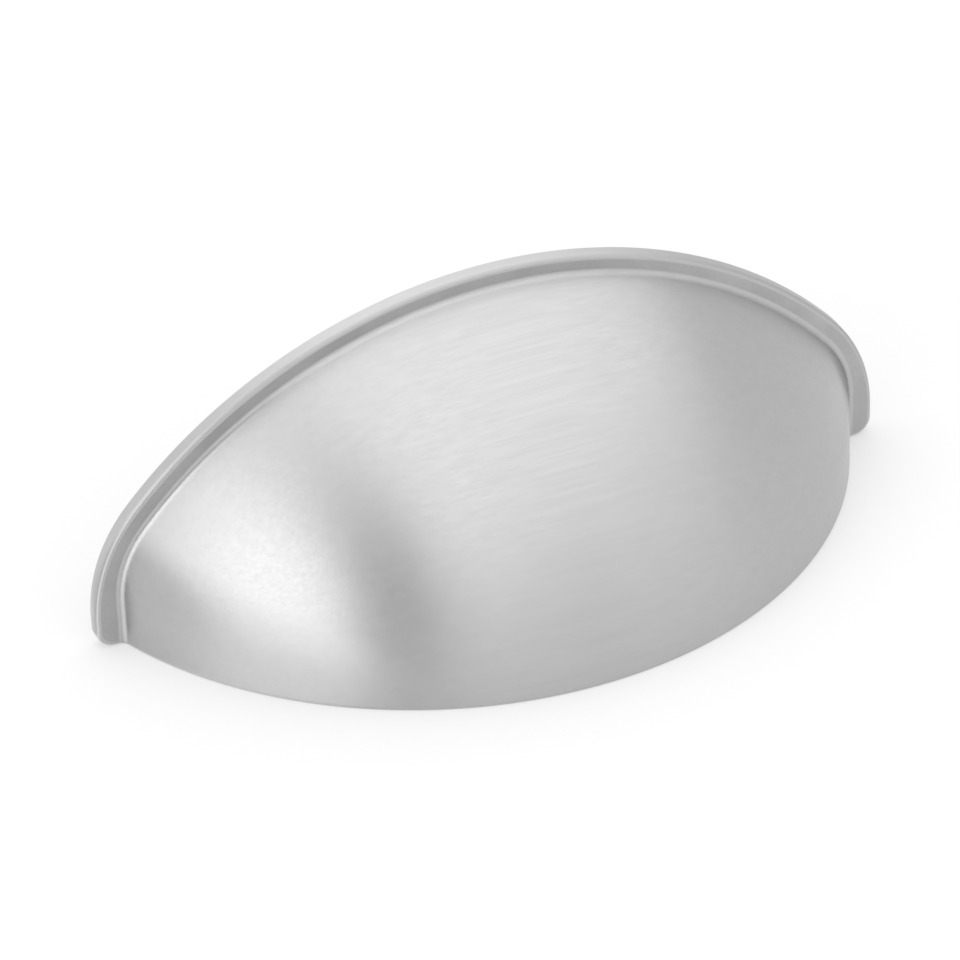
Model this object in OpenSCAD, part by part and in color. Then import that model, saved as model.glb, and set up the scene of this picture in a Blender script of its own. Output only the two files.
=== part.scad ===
// Cup handle for a drawer front: one metal casting with a quarter-dome cup,
// a flat lip all round it and two tapped bosses for the fixing screws.
// X runs along the width, Y into the drawer front, Z up.
// The origin is midway between the two screws, on the drawer front.

/* [Overall] */
// Width over the lip, end to end
handle_w = 90; // [86:1:100]
// Height of the lip above the lower rim
handle_h = 33.4; // [32:0.2:37]
// Projection of the rim from the drawer front
projection = 30.2; // [28:0.2:33]

/* [Lip] */
// Thickness of the lip
lip_t = 1.8; // [1.6:0.1:2.4]
// Width of the lip beside the cup at each end
lip_side = 2.9; // [2.6:0.1:4]
// Width of the lip above the cup at the top
lip_top = 2; // [1.8:0.1:3]
// Rounding of the lip's front edge
lip_edge_r = 0.5; // [0.3:0.1:1]
// Radius of the outline's end arcs
end_r = 18.3; // [16:0.1:20]
// Height at which each end arc starts
side_h = 3.4; // [3.3:0.1:5]
// Rounding of the lip's lower corners
corner_r = 2.8; // [2:0.1:3.2]

/* [Cup] */
// Wall thickness of the cup
wall = 2; // [1.6:0.1:2.4]
// Radius of the hollow fillet between the lip and the cup
fillet_r = 0.9; // [0.5:0.1:1.2]
// Broken edge along both sides of the lower rim
rim_chamfer = 0.35; // [0.2:0.05:0.6]

/* [Screws] */
// Distance between the two screw centres
screw_spacing = 64; // [60:0.5:65]
// Height of the screw centres above the lower rim
screw_h = 11; // [9:0.5:12]
// Diameter of the tapped holes, M4 before tapping
tap_d = 3.3; // [2.5:0.1:3.5]
// Depth of the tapped holes
tap_depth = 8; // [6:0.5:8]
// Diameter of the screw bosses
boss_d = 7.5; // [6.5:0.1:8]

/* [Hidden] */
$fn = 96;

// Satin nickel
nickel = [0.74, 0.74, 0.73];

half_w = handle_w / 2;

// The outline's top arc, tangent to both end arcs
end_x = half_w - end_r;
arch_h = handle_h - side_h;
top_r = (end_x * end_x + arch_h * arch_h - end_r * end_r) / (2 * (arch_h - end_r));
top_z = handle_h - top_r;
join_angle = atan2(side_h - top_z, end_x);
// The strip of lip that reaches from the outline to under the cup's wall
band = 6;
// Each arc laps a degree into its neighbours, and is a hair smaller than they are there
lap = 1;
land = 0.03;

// The cup is a sphere lowered in height, centred behind the drawer front
cup_half = half_w - lip_side;
cup_d = projection - lip_t;
cup_r = (cup_half * cup_half + cup_d * cup_d) / (2 * cup_d);
cup_y = cup_r - projection;
squash = (handle_h - lip_top) / cup_half;

// The fillet bites a little into the lip and the cup, so that it meets them
bite = 0.02;
fillet_h = lip_t + fillet_r - bite;
fillet_x = sqrt(pow(cup_r + fillet_r - bite, 2) - pow(fillet_h + cup_y, 2));
mid_r = cup_r - wall / 2;

// The rim's broken edge stops where the fillet starts
rim_angle = asin((fillet_h + cup_y) / cup_r);

// Angle at the point of the drill that cuts the tapped holes
drill_point = 118;
tap_r = tap_d / 2;
point_h = tap_r / tan(drill_point / 2);
screw_x = screw_spacing / 2;

// Room past a face that a cut runs out through
out = 1;
// Longer than the handle in every direction
far = 2 * handle_w;

// Cross-section of the lip, with its front outer edge rounded
module lip_section(w) {
    difference() {
        square([w, lip_t]);
        translate([w - lip_edge_r, lip_t - lip_edge_r])
            difference() {
                square(lip_edge_r + out);
                circle(lip_edge_r);
            }
    }
}

// The lip's section swept round an arc of the outline
module lip_arc(x, z, r, w, from, sweep) {
    translate([x, 0, z])
        rotate([90, 0, 0])
            rotate_extrude(start = from, angle = sweep)
                translate([r - w, 0])
                    lip_section(w);
}

// One end of the lip: end arc, short straight side and rounded lower corner
module lip_end() {
    lip_arc(end_x, side_h, end_r - land, band, -lap, join_angle + 2 * lap);
    translate([half_w - band, 0, corner_r])
        mirror([0, 1, 0])
            linear_extrude(side_h - corner_r)
                lip_section(band);
    lip_arc(half_w - corner_r, corner_r, corner_r - land, corner_r - land, 270 - lap, 90 + 2 * lap);
    translate([half_w - band, -lip_t, 0])
        cube([band - corner_r, lip_t, corner_r]);
}

// The flat lip round the cup
module lip() {
    lip_arc(0, top_z, top_r, band, join_angle, 180 - 2 * join_angle);
    lip_end();
    mirror([1, 0, 0])
        lip_end();
}

// The cup as a solid, taken in by a given amount all over
module cup_core(inset) {
    r = cup_r - inset;
    translate([0, cup_y, 0])
        scale([1, 1, (cup_r * squash - inset) / r])
            sphere(r);
}

// Hollow fillet that runs round the foot of the cup
module fillet_ring() {
    reach = cup_r + fillet_r - bite;
    scale([1, 1, squash])
        rotate([90, 0, 0])
            rotate_extrude()
                difference() {
                    polygon([
                        [sqrt(mid_r * mid_r - pow(cup_y + lip_t / 2, 2)), lip_t / 2],
                        [fillet_x, lip_t / 2],
                        [fillet_x, fillet_h],
                        [fillet_x * mid_r / reach, (fillet_h + cup_y) * mid_r / reach - cup_y]
                    ]);
                    translate([fillet_x, fillet_h])
                        circle(fillet_r);
                }
}

// The cup in front of the drawer and above its rim, with its fillet
module cup() {
    intersection() {
        union() {
            cup_core(0);
            fillet_ring();
        }
        translate([-far / 2, -far - lip_t / 2, 0])
            cube([far, far, far]);
    }
}

// Cuts that break the rim's outer and inner edges
module rim_edges() {
    inner_r = cup_r - wall;
    translate([0, cup_y, 0])
        rotate_extrude(start = 180 + rim_angle, angle = 180 - 2 * rim_angle) {
            polygon([
                [cup_r - rim_chamfer - out, -out],
                [cup_r + out, -out],
                [cup_r + out, rim_chamfer + out]
            ]);
            polygon([
                [inner_r + rim_chamfer + out, -out],
                [inner_r - out, -out],
                [inner_r - out, rim_chamfer + out]
            ]);
        }
}

// Screw boss from the drawer front to inside the cup's wall
module boss() {
    intersection() {
        translate([screw_x, 0, screw_h])
            rotate([90, 0, 0])
                cylinder(d = boss_d, h = projection);
        cup_core(wall / 2);
    }
}

// Tapped hole with the drill's point at its end
module tapped_hole() {
    translate([screw_x, out, screw_h])
        rotate([90, 0, 0])
            cylinder(r = tap_r, h = tap_depth + out);
    translate([screw_x, -tap_depth, screw_h])
        rotate([90, 0, 0])
            cylinder(r1 = tap_r, r2 = 0, h = point_h);
}

// The lip and the cup, hollowed out, with the lower rim at z = 0
module shell() {
    difference() {
        union() {
            lip();
            cup();
        }
        cup_core(wall);
        rim_edges();
    }
}

// The whole casting, set with its origin between the screws
module cup_handle() {
    color(nickel)
        translate([0, 0, -screw_h])
            difference() {
                union() {
                    shell();
                    boss();
                    mirror([1, 0, 0])
                        boss();
                }
                tapped_hole();
                mirror([1, 0, 0])
                    tapped_hole();
            }
}

cup_handle();
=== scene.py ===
import bpy
import bmesh
from math import atan2, cos, pi, radians, sin, sqrt
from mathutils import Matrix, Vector


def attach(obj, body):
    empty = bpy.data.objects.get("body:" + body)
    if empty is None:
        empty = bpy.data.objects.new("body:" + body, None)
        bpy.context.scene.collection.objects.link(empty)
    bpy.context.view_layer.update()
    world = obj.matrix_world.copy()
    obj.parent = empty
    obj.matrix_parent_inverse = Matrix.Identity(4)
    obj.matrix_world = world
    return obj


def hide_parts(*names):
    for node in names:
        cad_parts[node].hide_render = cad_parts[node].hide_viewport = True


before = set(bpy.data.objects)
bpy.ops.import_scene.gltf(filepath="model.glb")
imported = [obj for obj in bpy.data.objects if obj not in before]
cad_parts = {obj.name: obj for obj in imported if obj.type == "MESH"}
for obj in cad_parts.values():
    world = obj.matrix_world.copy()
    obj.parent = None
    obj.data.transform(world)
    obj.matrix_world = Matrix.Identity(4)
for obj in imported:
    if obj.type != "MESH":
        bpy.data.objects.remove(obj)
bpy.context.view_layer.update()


# ---------------------------------------------------------------- the casting
# The whole handle is one zinc casting: a quarter-dome cup with a flat lip all
# round it, joined by a small hollow fillet. It is modelled from the cup's
# outside inwards, and its flat faces are filled in last.
MM = 0.001
TINY = 0.002 * MM
RIM_Z = -11 * MM
HALF_WIDTH = 45 * MM
HEIGHT = 33.4 * MM
PROJECTION = 30.2 * MM
LIP_THICK = 1.8 * MM
LIP_SIDE = 2.9 * MM
LIP_TOP = 2 * MM
FILLET = 0.9 * MM
WALL = 2 * MM
CUP_SEGMENTS = 384
HOLLOW_SEGMENTS = 288
SHARP_ANGLE = 0.6

# The cup is a sphere lowered in height, centred behind the drawer front
cup_half = HALF_WIDTH - LIP_SIDE
cup_depth = PROJECTION - LIP_THICK
cup_r = (cup_half ** 2 + cup_depth ** 2) / (2 * cup_depth)
cup_y = cup_r - PROJECTION
squash = (HEIGHT - LIP_TOP) / cup_half
inner_r = cup_r - WALL
inner_squash = (cup_r * squash - WALL) / inner_r

# The fillet's centre line, and the place where it leaves the cup
fillet_y = -(LIP_THICK + FILLET)
fillet_x = sqrt((cup_r + FILLET) ** 2 - (cup_y - fillet_y) ** 2)
fillet_from = atan2(cup_y - fillet_y, -fillet_x)
foot_x = fillet_x + FILLET * cos(fillet_from)
foot_y = fillet_y + FILLET * sin(fillet_from)


def select_edges(mesh, wanted):
    """In edit mode, selects the edges whose two ends are both wanted."""
    bpy.ops.mesh.select_mode(type='EDGE')
    bpy.ops.mesh.select_all(action='DESELECT')
    shape = bmesh.from_edit_mesh(mesh)
    for edge in shape.edges:
        edge.select_set(all(wanted(v.co) for v in edge.verts))
    shape.select_flush_mode()
    bmesh.update_edit_mesh(mesh)


def select_points(mesh, *places):
    """In edit mode, selects the point nearest to each place."""
    bpy.ops.mesh.select_mode(type='VERT')
    bpy.ops.mesh.select_all(action='DESELECT')
    shape = bmesh.from_edit_mesh(mesh)
    for place in places:
        nearest = min(shape.verts, key=lambda v: (v.co - Vector(place)).length)
        nearest.select_set(True)
    shape.select_flush_mode()
    bmesh.update_edit_mesh(mesh)


def arch(half, height, side_h, end_r):
    """End arcs' centre, top arc's radius and centre, and the angle where they join."""
    end_x, rise = half - end_r, height - side_h
    top_r = (end_x ** 2 + rise ** 2 - end_r ** 2) / (2 * (rise - end_r))
    top_z = height - top_r
    return end_x, top_r, top_z, atan2(side_h - top_z, end_x)


# The cup's foot keeps an even distance from the lip's edge, so it is an arch of
# three arcs too: its shoulders are fuller than a plain ellipse
FOOT_SIDE_H = 5.5 * MM
FOOT_END_R = 12.4 * MM
foot_h = HEIGHT - LIP_TOP
foot_end_x, foot_top_r, foot_top_z, foot_join = arch(
    cup_half, foot_h, FOOT_SIDE_H, FOOT_END_R)
foot_turn = atan2(foot_top_z + foot_top_r * sin(foot_join), foot_top_r * cos(foot_join))


def foot_reach(angle):
    """How far the foot lies from the middle of the rim, at an angle above the rim."""
    along, up = cos(angle), sin(angle)
    if angle > foot_turn:
        return foot_top_z * up + sqrt(foot_top_r ** 2 - (foot_top_z * along) ** 2)
    if angle < atan2(FOOT_SIDE_H, cup_half):
        return cup_half / along
    lean = foot_end_x * along + FOOT_SIDE_H * up
    return lean + sqrt(lean ** 2 - foot_end_x ** 2 - FOOT_SIDE_H ** 2 + FOOT_END_R ** 2)


def fill_shoulders(dome, flatten):
    """Moves a dome's points out from the ellipse to the arch, most at its foot."""
    for point in dome.data.vertices:
        across, up = abs(point.co.x), point.co.z - RIM_Z
        wide = sqrt(across ** 2 + (up / flatten) ** 2)
        if wide < TINY:
            continue
        angle = atan2(up, across)
        ellipse = cup_half / sqrt(cos(angle) ** 2 + (sin(angle) / squash) ** 2)
        fuller = (foot_reach(angle) / ellipse - 1) * (wide / cup_half) ** 2
        point.co.x *= 1 + fuller
        point.co.z += up * fuller


def swell_dome(name, radius, flatten, back, segments):
    """A quarter arc spun into a dome over the rim, cut off at the back and lowered."""
    bpy.ops.object.select_all(action='DESELECT')
    bpy.ops.mesh.primitive_circle_add(
        vertices=segments, radius=radius, location=(0, cup_y, RIM_Z), rotation=(pi / 2, 0, 0))
    dome = bpy.context.object
    dome.name = name
    bpy.ops.object.transform_apply(location=True, rotation=True, scale=True)
    bpy.ops.object.mode_set(mode='EDIT')
    bpy.ops.mesh.select_all(action='SELECT')
    bpy.ops.mesh.bisect(
        plane_co=(0, 0, RIM_Z), plane_no=(0, 0, 1), clear_inner=True, threshold=TINY)
    bpy.ops.mesh.select_all(action='SELECT')
    bpy.ops.mesh.bisect(
        plane_co=(0, 0, 0), plane_no=(1, 0, 0), clear_inner=True, threshold=TINY)
    bpy.ops.mesh.select_all(action='SELECT')
    bpy.ops.mesh.spin(
        steps=segments // 2, angle=pi, center=(0, cup_y, RIM_Z), axis=(0, 0, 1))
    bpy.ops.mesh.select_all(action='SELECT')
    bpy.ops.mesh.bisect(
        plane_co=(0, back, 0), plane_no=(0, 1, 0), clear_outer=True, threshold=TINY)
    bpy.ops.mesh.select_all(action='SELECT')
    bpy.ops.mesh.remove_doubles(threshold=TINY)
    bpy.ops.transform.resize(value=(1, 1, flatten), center_override=(0, 0, RIM_Z))
    bpy.ops.object.mode_set(mode='OBJECT')
    fill_shoulders(dome, flatten)
    return dome


hollow = swell_dome("cup_hollow", inner_r, inner_squash, 0, HOLLOW_SEGMENTS)
handle = swell_dome("cup_handle_casting", cup_r, squash, foot_y, CUP_SEGMENTS)
casting = handle.data

# The fillet: the foot's crowded points are merged, and then it is drawn out step
# by step along a hollow round
FOOT_SPACING = 0.1 * MM
FILLET_STEPS = 10
bpy.ops.object.mode_set(mode='EDIT')
select_edges(casting, lambda p: abs(p.y - foot_y) < TINY)
bpy.ops.mesh.remove_doubles(threshold=FOOT_SPACING)
select_edges(casting, lambda p: abs(p.y - foot_y) < TINY)
last_x, last_y = foot_x, foot_y
for step in range(1, FILLET_STEPS + 1):
    turn = fillet_from + (pi / 2 - fillet_from) * step / FILLET_STEPS
    ring_x = fillet_x + FILLET * cos(turn)
    ring_y = fillet_y + FILLET * sin(turn)
    grow = ring_x / last_x
    bpy.ops.mesh.extrude_region_move(
        TRANSFORM_OT_translate={"value": (0, ring_y - last_y, 0)})
    bpy.ops.transform.resize(value=(grow, 1, grow), center_override=(0, 0, RIM_Z))
    last_x, last_y = ring_x, ring_y

# The lip's outline: a point is swung round the corner, end and top arcs in turn
END_R = 18.3 * MM
SIDE_H = 3.4 * MM
CORNER_LAND = 0.3 * MM
CORNER_STEPS = 16
END_STEPS = 36
TOP_STEPS = 144
corner_x = fillet_x + CORNER_LAND
corner_r = HALF_WIDTH - corner_x
end_x, top_r, top_z, join = arch(HALF_WIDTH, HEIGHT, SIDE_H, END_R)


def swing(x, z, angle, steps):
    """Draws the selected point round a centre in the plane of the lip's front."""
    bpy.ops.mesh.spin(
        steps=steps, angle=angle, center=(x, -LIP_THICK, RIM_Z + z), axis=(0, 1, 0))


select_points(casting, (fillet_x, -LIP_THICK, RIM_Z))
bpy.ops.mesh.extrude_region_move(
    TRANSFORM_OT_translate={"value": (corner_x - fillet_x, 0, 0)})
swing(corner_x, corner_r, pi / 2, CORNER_STEPS)
bpy.ops.mesh.extrude_region_move(
    TRANSFORM_OT_translate={"value": (0, 0, SIDE_H - corner_r)})
swing(end_x, SIDE_H, join, END_STEPS)
swing(0, top_z, pi - 2 * join, TOP_STEPS)
swing(-end_x, SIDE_H, join, END_STEPS)
bpy.ops.mesh.extrude_region_move(
    TRANSFORM_OT_translate={"value": (0, 0, corner_r - SIDE_H)})
swing(-corner_x, corner_r, pi / 2, CORNER_STEPS)
bpy.ops.mesh.extrude_region_move(
    TRANSFORM_OT_translate={"value": (corner_x - fillet_x, 0, 0)})
bpy.ops.mesh.select_all(action='SELECT')
bpy.ops.mesh.remove_doubles(threshold=TINY)

# The lip's flat front, then its edge drawn back to the drawer front
select_edges(casting, lambda p: abs(p.y + LIP_THICK) < TINY)
bpy.ops.mesh.edge_face_add()
bpy.ops.mesh.select_all(action='DESELECT')
shape = bmesh.from_edit_mesh(casting)
for edge in shape.edges:
    on_front = all(abs(v.co.y + LIP_THICK) < TINY for v in edge.verts)
    edge.select_set(on_front and len(edge.link_faces) == 1)
shape.select_flush_mode()
bmesh.update_edit_mesh(casting)
bpy.ops.mesh.extrude_edges_move(TRANSFORM_OT_translate={"value": (0, LIP_THICK, 0)})
bpy.ops.object.mode_set(mode='OBJECT')

# The hollow joins in, and the flat back and the flat underside close the shell
bpy.ops.object.select_all(action='DESELECT')
hollow.select_set(True)
handle.select_set(True)
bpy.context.view_layer.objects.active = handle
bpy.ops.object.join()
bpy.ops.object.mode_set(mode='EDIT')
inner_x = sqrt(inner_r ** 2 - cup_y ** 2)
for side in (1, -1):
    select_points(casting, (side * fillet_x, 0, RIM_Z), (side * inner_x, 0, RIM_Z))
    bpy.ops.mesh.edge_face_add()
select_edges(casting, lambda p: abs(p.y) < TINY)
bpy.ops.mesh.edge_face_add()
select_edges(casting, lambda p: abs(p.z - RIM_Z) < TINY)
bpy.ops.mesh.edge_face_add()
bpy.ops.mesh.select_all(action='SELECT')
bpy.ops.mesh.normals_make_consistent(inside=False)
bpy.ops.object.mode_set(mode='OBJECT')

# The edges that tumbling and brushing round off, each by its own amount
LIP_ROUND = 0.5 * MM
RIM_ROUND = 0.2 * MM
BACK_ROUND = 0.12 * MM
ROUND_STEPS = 5
bpy.ops.object.mode_set(mode='EDIT')
shape = bmesh.from_edit_mesh(casting)
weight = shape.edges.layers.float.new("bevel_weight_edge")
for edge in shape.edges:
    if len(edge.link_faces) != 2 or edge.calc_face_angle(0) < SHARP_ANGLE:
        continue
    spot = (edge.verts[0].co + edge.verts[1].co) / 2
    if all(abs(v.co.y + LIP_THICK) < TINY for v in edge.verts):
        edge[weight] = 1
    elif all(abs(v.co.z - RIM_Z) < TINY for v in edge.verts) and spot.y < -LIP_THICK:
        up_fillet = min(1, (-LIP_THICK - spot.y) / FILLET)
        edge[weight] = 1 + up_fillet * (RIM_ROUND / LIP_ROUND - 1)
    elif all(abs(v.co.y) < TINY for v in edge.verts) and abs(spot.x) > TINY:
        reach = sqrt(spot.x ** 2 + (spot.z - RIM_Z) ** 2)
        if reach > foot_reach(atan2(spot.z - RIM_Z, abs(spot.x))):
            edge[weight] = BACK_ROUND / LIP_ROUND
bmesh.update_edit_mesh(casting)
bpy.ops.object.mode_set(mode='OBJECT')
bpy.ops.object.modifier_add(type='BEVEL')
rounding = handle.modifiers[-1]
rounding.limit_method = 'WEIGHT'
rounding.width = LIP_ROUND
rounding.segments = ROUND_STEPS
rounding.use_clamp_overlap = False
bpy.ops.object.modifier_apply(modifier=rounding.name)


# ----------------------------------------------------------- the screw bosses
# Two round bosses stand behind the cup, cast in one with its wall, so that the
# screws from inside the drawer have metal to bite on. They stay hidden in use.
SCREW_X = 32 * MM
BOSS_R = 3.75 * MM
BOSS_SIDES = 64
BOSS_STUB = 5 * MM
mid_r = cup_r - WALL / 2
mid_squash = (cup_r * squash - WALL / 2) / mid_r


def inside_wall(x, z):
    """How deep the middle of the cup's wall lies behind a point of the drawer front."""
    return cup_y - sqrt(mid_r ** 2 - x ** 2 - ((z - RIM_Z) / mid_squash) ** 2)


bpy.ops.object.select_all(action='DESELECT')
bpy.ops.mesh.primitive_circle_add(
    vertices=BOSS_SIDES, radius=BOSS_R, location=(SCREW_X, 0, 0), rotation=(pi / 2, 0, 0),
    fill_type='NGON')
boss = bpy.context.object
boss.name = "screw_boss"
bpy.ops.object.transform_apply(location=True, rotation=True, scale=True)
bpy.ops.object.mode_set(mode='EDIT')
bpy.ops.mesh.select_all(action='SELECT')
bpy.ops.mesh.extrude_region_move(TRANSFORM_OT_translate={"value": (0, -BOSS_STUB, 0)})
bpy.ops.mesh.poke()
shape = bmesh.from_edit_mesh(boss.data)
for point in shape.verts:
    if point.co.y < -TINY:
        point.co.y = inside_wall(point.co.x, point.co.z)
bmesh.update_edit_mesh(boss.data)
bpy.ops.mesh.select_all(action='SELECT')
bpy.ops.mesh.normals_make_consistent(inside=False)
bpy.ops.object.mode_set(mode='OBJECT')


def mirror_across(piece):
    """Adds a piece's mirror image at the handle's other end."""
    bpy.ops.object.modifier_add(type='MIRROR')
    mirror = piece.modifiers[-1]
    mirror.use_axis = (True, False, False)
    mirror.use_mirror_merge = False
    bpy.ops.object.modifier_apply(modifier=mirror.name)


def combine(solid, tool, how):
    """Joins a tool to a solid or cuts it away, and takes the tool off the bench."""
    bpy.ops.object.select_all(action='DESELECT')
    solid.select_set(True)
    bpy.context.view_layer.objects.active = solid
    bpy.ops.object.modifier_add(type='BOOLEAN')
    cut = solid.modifiers[-1]
    cut.operation = how
    cut.solver = 'MANIFOLD'
    cut.object = tool
    bpy.ops.object.modifier_apply(modifier=cut.name)
    bpy.data.objects.remove(tool)


mirror_across(boss)
combine(handle, boss, 'UNION')

# The screw holes: cut by a drill with its point and a chamfer that breaks the mouth
TAP_R = 1.65 * MM
TAP_DEPTH = 8 * MM
DRILL_POINT = 0.99 * MM
MOUTH_R = 2.1 * MM
OUT = 0.5 * MM
DRILL_SIDES = 48
bpy.ops.object.select_all(action='DESELECT')
bpy.ops.mesh.primitive_circle_add(
    vertices=DRILL_SIDES, radius=MOUTH_R + OUT, location=(SCREW_X, OUT, 0),
    rotation=(pi / 2, 0, 0), fill_type='NGON')
drill = bpy.context.object
bpy.ops.object.transform_apply(location=True, rotation=True, scale=True)
bpy.ops.object.mode_set(mode='EDIT')
bpy.ops.mesh.select_all(action='SELECT')
last_r, last_y = MOUTH_R + OUT, OUT
for ring_r, ring_y in (
        (TAP_R, TAP_R - MOUTH_R), (TAP_R, -TAP_DEPTH), (TINY, -TAP_DEPTH - DRILL_POINT)):
    shrink = ring_r / last_r
    bpy.ops.mesh.extrude_region_move(
        TRANSFORM_OT_translate={"value": (0, ring_y - last_y, 0)})
    bpy.ops.transform.resize(
        value=(shrink, 1, shrink), center_override=(SCREW_X, 0, 0))
    last_r, last_y = ring_r, ring_y
bpy.ops.mesh.select_all(action='SELECT')
bpy.ops.mesh.normals_make_consistent(inside=False)
bpy.ops.object.mode_set(mode='OBJECT')
mirror_across(drill)
combine(handle, drill, 'DIFFERENCE')

# Smooth shading between the sharp edges, with the broad faces kept flat
bpy.ops.object.select_all(action='DESELECT')
handle.select_set(True)
bpy.context.view_layer.objects.active = handle
bpy.ops.object.shade_smooth_by_angle(angle=SHARP_ANGLE)
bpy.ops.object.modifier_add(type='WEIGHTED_NORMAL')
shading = handle.modifiers[-1]
shading.keep_sharp = True
bpy.ops.object.modifier_apply(modifier=shading.name)

# Handling rubs the rounded edges: each point on a rounding is marked with a weight
rub = handle.data.attributes.new("rub", 'FLOAT', 'POINT')
for point in handle.data.vertices:
    across, above = abs(point.co.x), point.co.z - RIM_Z
    in_front = -LIP_THICK + TINY < point.co.y < -LIP_THICK + LIP_ROUND - TINY
    outside = sqrt(across ** 2 + above ** 2) > foot_reach(atan2(above, across))
    on_rim = TINY < above < RIM_ROUND - TINY
    rub.data[point.index].value = 1 if on_rim or (in_front and outside) else 0

# Satin nickel over the casting, brushed along the width: fine hairlines and
# broader strokes lie in the shine, and the blur of the brushing runs across them
BRUSHED_DARK = (0.492, 0.492, 0.492, 1)
BRUSHED_LIGHT = (0.512, 0.512, 0.512, 1)
RUBBED_LIGHT = (0.54, 0.54, 0.54, 1)
BRUSHED_ROUGH = (0.4, 0.46)
RUBBED_ROUGH = 0.57
ACROSS_BLUR = 0.88
BRUSHED_ALONG = (1, 0.02, 0.03)
BRUSH_SLANT = radians(1.5)
MARK_DEPTH = 0.03 * MM
nickel = bpy.data.materials.new("brushed_nickel")
nickel.use_nodes = True
nodes = nickel.node_tree.nodes
links = nickel.node_tree.links
metal = nodes["Principled BSDF"]
metal.inputs["Metallic"].default_value = 1
metal.inputs["Anisotropic"].default_value = ACROSS_BLUR
place = nodes.new("ShaderNodeTexCoord")


def brush_marks(along, across, detail):
    """Noise drawn out along the width, with so many marks to the metre each way."""
    draw_out = nodes.new("ShaderNodeMapping")
    draw_out.inputs["Scale"].default_value = (along, across, across)
    draw_out.inputs["Rotation"].default_value = (0, BRUSH_SLANT, 0)
    links.new(place.outputs["Object"], draw_out.inputs["Vector"])
    marks = nodes.new("ShaderNodeTexNoise")
    marks.inputs["Scale"].default_value = 1
    marks.inputs["Detail"].default_value = detail
    marks.inputs["Roughness"].default_value = 0.6
    links.new(draw_out.outputs["Vector"], marks.inputs["Vector"])
    return marks.outputs["Fac"]


def spread(marks, low, high, into):
    """Stretches the middle of a noise over a range and feeds it to a socket."""
    span = nodes.new("ShaderNodeMapRange")
    span.inputs["From Min"].default_value = 0.3
    span.inputs["From Max"].default_value = 0.7
    span.inputs["To Min"].default_value = low
    span.inputs["To Max"].default_value = high
    links.new(marks, span.inputs["Value"])
    links.new(span.outputs["Result"], into)


def two_tones(marks, dark, light):
    """A colour that wanders between two tones with a noise."""
    tone = nodes.new("ShaderNodeMix")
    tone.data_type = 'RGBA'
    tone.inputs["A"].default_value = dark
    tone.inputs["B"].default_value = light
    spread(marks, 0, 1, tone.inputs["Factor"])
    return tone.outputs["Result"]


def relief(marks, strength):
    """A fine relief from a noise."""
    bump = nodes.new("ShaderNodeBump")
    bump.inputs["Strength"].default_value = strength
    bump.inputs["Distance"].default_value = MARK_DEPTH
    links.new(marks, bump.inputs["Height"])
    return bump


hairlines = brush_marks(30, 3200, 3)
strokes = brush_marks(16, 1300, 2)
rubbed = nodes.new("ShaderNodeAttribute")
rubbed.attribute_name = "rub"

# Colour: strokes a shade lighter or darker, and rubbed edges lighter still
lighter = nodes.new("ShaderNodeMix")
lighter.data_type = 'RGBA'
lighter.inputs["B"].default_value = RUBBED_LIGHT
links.new(rubbed.outputs["Fac"], lighter.inputs["Factor"])
links.new(two_tones(strokes, BRUSHED_DARK, BRUSHED_LIGHT), lighter.inputs["A"])
links.new(lighter.outputs["Result"], metal.inputs["Base Color"])

# Roughness: hairlines scatter more or less, and rubbed edges are the most matt
haze = nodes.new("ShaderNodeMix")
haze.inputs["B"].default_value = RUBBED_ROUGH
links.new(rubbed.outputs["Fac"], haze.inputs["Factor"])
spread(hairlines, *BRUSHED_ROUGH, haze.inputs["A"])
links.new(haze.outputs["Result"], metal.inputs["Roughness"])

# Relief: hairlines on top of the broader strokes
ridges = relief(strokes, 0.18)
scratches = relief(hairlines, 0.2)
links.new(ridges.outputs["Normal"], scratches.inputs["Normal"])
links.new(scratches.outputs["Normal"], metal.inputs["Normal"])

# The shine is drawn out at right angles to the brushing
facing = nodes.new("ShaderNodeNewGeometry")
crosswise = nodes.new("ShaderNodeVectorMath")
crosswise.operation = 'CROSS_PRODUCT'
crosswise.inputs[1].default_value = BRUSHED_ALONG
links.new(facing.outputs["Normal"], crosswise.inputs[0])
links.new(crosswise.outputs["Vector"], metal.inputs["Tangent"])

# The hollow and the bosses are plated as they were cast: matt, with a fine grain
CAST_DARK = (0.42, 0.42, 0.42, 1)
CAST_LIGHT = (0.48, 0.48, 0.48, 1)
CAST_ROUGH = (0.46, 0.58)
skin = bpy.data.materials.new("plated_casting")
skin.use_nodes = True
nodes = skin.node_tree.nodes
links = skin.node_tree.links
metal = nodes["Principled BSDF"]
metal.inputs["Metallic"].default_value = 1
place = nodes.new("ShaderNodeTexCoord")


def cast_marks(per_metre, detail):
    """Even noise, with so many marks to the metre."""
    marks = nodes.new("ShaderNodeTexNoise")
    marks.inputs["Scale"].default_value = per_metre
    marks.inputs["Detail"].default_value = detail
    links.new(place.outputs["Object"], marks.inputs["Vector"])
    return marks.outputs["Fac"]


grain = cast_marks(2600, 3)
clouds = cast_marks(160, 2)
links.new(two_tones(clouds, CAST_DARK, CAST_LIGHT), metal.inputs["Base Color"])
spread(grain, *CAST_ROUGH, metal.inputs["Roughness"])
links.new(relief(grain, 0.35).outputs["Normal"], metal.inputs["Normal"])

handle.data.materials.clear()
handle.data.materials.append(nickel)
handle.data.materials.append(skin)
cup_middle = Vector((0, cup_y, RIM_Z))
for face in handle.data.polygons:
    arm = face.center - cup_middle
    turned_in = face.normal.dot(arm) < -TINY
    in_cup = sqrt(arm.x ** 2 + arm.y ** 2 + (arm.z / mid_squash) ** 2) < mid_r
    face.material_index = 1 if face.center.y < -TINY and (turned_in or in_cup) else 0

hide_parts("cup_handle")
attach(handle, "root")


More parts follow.
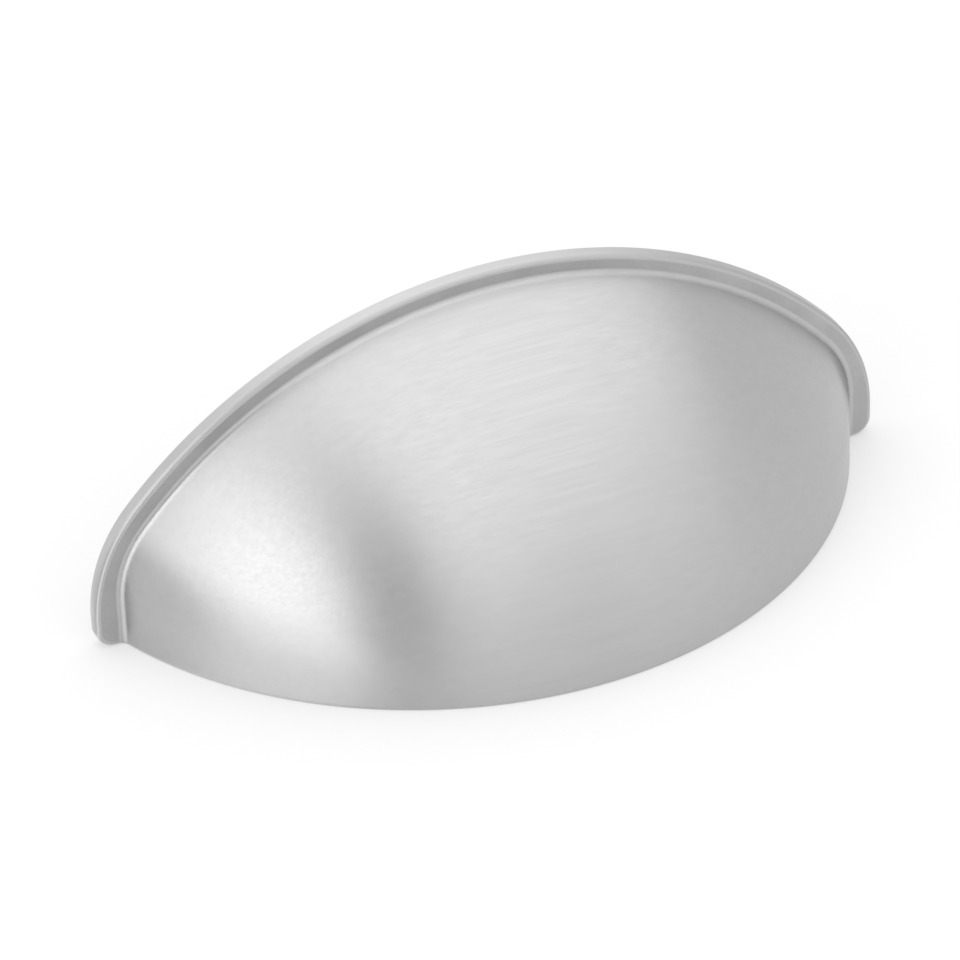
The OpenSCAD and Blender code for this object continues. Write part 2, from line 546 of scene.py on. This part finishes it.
# -------------------------------------------------------------- the table top
# A sheet of white paper on a table, wide enough to fill the view behind the
# handle. It stays white to the lens and keeps the handle's soft shadow.
PAPER = (0.38, 0.38, 0.38, 1)
PAPER_GLOW = 0.42
PAPER_SIZE = 8
PAPER_GAP = 0.02 * MM
bpy.ops.object.select_all(action='DESELECT')
bpy.ops.mesh.primitive_plane_add(size=PAPER_SIZE, location=(0, 0, RIM_Z - PAPER_GAP))
floor = bpy.context.object
floor.name = "floor"
bpy.ops.object.transform_apply(location=True, rotation=True, scale=True)
paper = bpy.data.materials.new("white_paper")
paper.use_nodes = True
nodes = paper.node_tree.nodes
links = paper.node_tree.links
sheet = nodes["Principled BSDF"]
sheet.inputs["Base Color"].default_value = PAPER
sheet.inputs["Roughness"].default_value = 0.9
sheet.inputs["Specular IOR Level"].default_value = 0
sheet.inputs["Emission Color"].default_value = (1, 1, 1, 1)
ray = nodes.new("ShaderNodeLightPath")
seen = nodes.new("ShaderNodeMath")
seen.operation = 'MAXIMUM'
links.new(ray.outputs["Is Camera Ray"], seen.inputs[0])
links.new(ray.outputs["Is Glossy Ray"], seen.inputs[1])
through = nodes.new("ShaderNodeMath")
through.operation = 'MAXIMUM'
links.new(seen.outputs["Value"], through.inputs[0])
links.new(ray.outputs["Is Transmission Ray"], through.inputs[1])
glow = nodes.new("ShaderNodeMath")
glow.operation = 'MULTIPLY'
glow.inputs[1].default_value = PAPER_GLOW
links.new(through.outputs["Value"], glow.inputs[0])
links.new(glow.outputs["Value"], sheet.inputs["Emission Strength"])
floor.data.materials.append(paper)


# ------------------------------------------------------------------ the lights
# Plain soft studio light: a pale room, three big soft lamps and a dark card
# beside the lens, which gives the brushed metal its one dark streak.
ROOM_LEVEL = 0.95
world = bpy.data.worlds.new("pale_room")
bpy.context.scene.world = world
world.use_nodes = True
room = world.node_tree.nodes["Background"]
room.inputs["Color"].default_value = (1, 1, 1, 1)
room.inputs["Strength"].default_value = ROOM_LEVEL


def round_the_handle(azimuth, rise, reach):
    """A place seen from the handle: azimuth to the right of the front, and a rise."""
    azimuth, rise = radians(azimuth), radians(rise)
    return Vector((sin(azimuth) * cos(rise), -cos(azimuth) * cos(rise), sin(rise))) * reach


def soft_lamp(name, azimuth, rise, reach, width, tall, level):
    """A soft box turned to the handle; a level of 1 looks as bright as white paper."""
    spot = round_the_handle(azimuth, rise, reach)
    bpy.ops.object.light_add(
        type='AREA', location=spot, rotation=spot.to_track_quat('Z', 'Y').to_euler())
    lamp = bpy.context.object
    lamp.name = name
    lamp.data.shape = 'RECTANGLE'
    lamp.data.size = width
    lamp.data.size_y = tall
    lamp.data.energy = level * pi * width * tall
    lamp.visible_camera = False


soft_lamp("lamp_left", -63, 11, 1.2, 1.02, 0.9, 1.85)
soft_lamp("lamp_top", -42, 86, 1.2, 2.7, 4, 0.85)
soft_lamp("lamp_right", 42, 17, 1.2, 0.8, 0.3, 0.5)

# The card stands in front of the left lamp's edge and leans to the left
CARD_LEAN = radians(11)
CARD_WIDE = 0.32
CARD_TALL = 0.98
CARD_BLACK = (0.02, 0.02, 0.02, 1)
CARD_GLOW = 0.04
card_spot = round_the_handle(-36.5, 25, 1)
card_turn = card_spot.to_track_quat('Z', 'Y').to_euler()
card_turn.rotate_axis('Z', CARD_LEAN)
bpy.ops.mesh.primitive_plane_add(size=1, location=card_spot, rotation=card_turn)
card = bpy.context.object
card.name = "dark_card"
card.scale = (CARD_WIDE, CARD_TALL, 1)
bpy.ops.object.transform_apply(location=True, rotation=True, scale=True)
slate = bpy.data.materials.new("dark_card")
slate.use_nodes = True
card_face = slate.node_tree.nodes["Principled BSDF"]
card_face.inputs["Base Color"].default_value = CARD_BLACK
card_face.inputs["Emission Color"].default_value = (1, 1, 1, 1)
card_face.inputs["Emission Strength"].default_value = CARD_GLOW
card.data.materials.append(slate)
card.visible_camera = False
card.visible_diffuse = False
card.visible_shadow = False


# ------------------------------------------------------------------ the camera
# It stands in front, to the left and above, with a long lens, and it is turned
# to the angle from which the handle is seen in the photograph.
CAMERA_PLACE = (-0.182853, -0.421046, 0.314103)
CAMERA_TURN = (radians(55.2198), radians(1.4507), radians(-24.395))
LENS = 198.389
SENSOR = 36
bpy.ops.object.camera_add(location=CAMERA_PLACE, rotation=CAMERA_TURN)
camera = bpy.context.object
camera.name = "camera"
camera.data.sensor_width = SENSOR
camera.data.lens = LENS
camera.data.clip_start = 0.01
bpy.context.scene.camera = camera
bpy.context.scene.view_settings.view_transform = 'Standard'
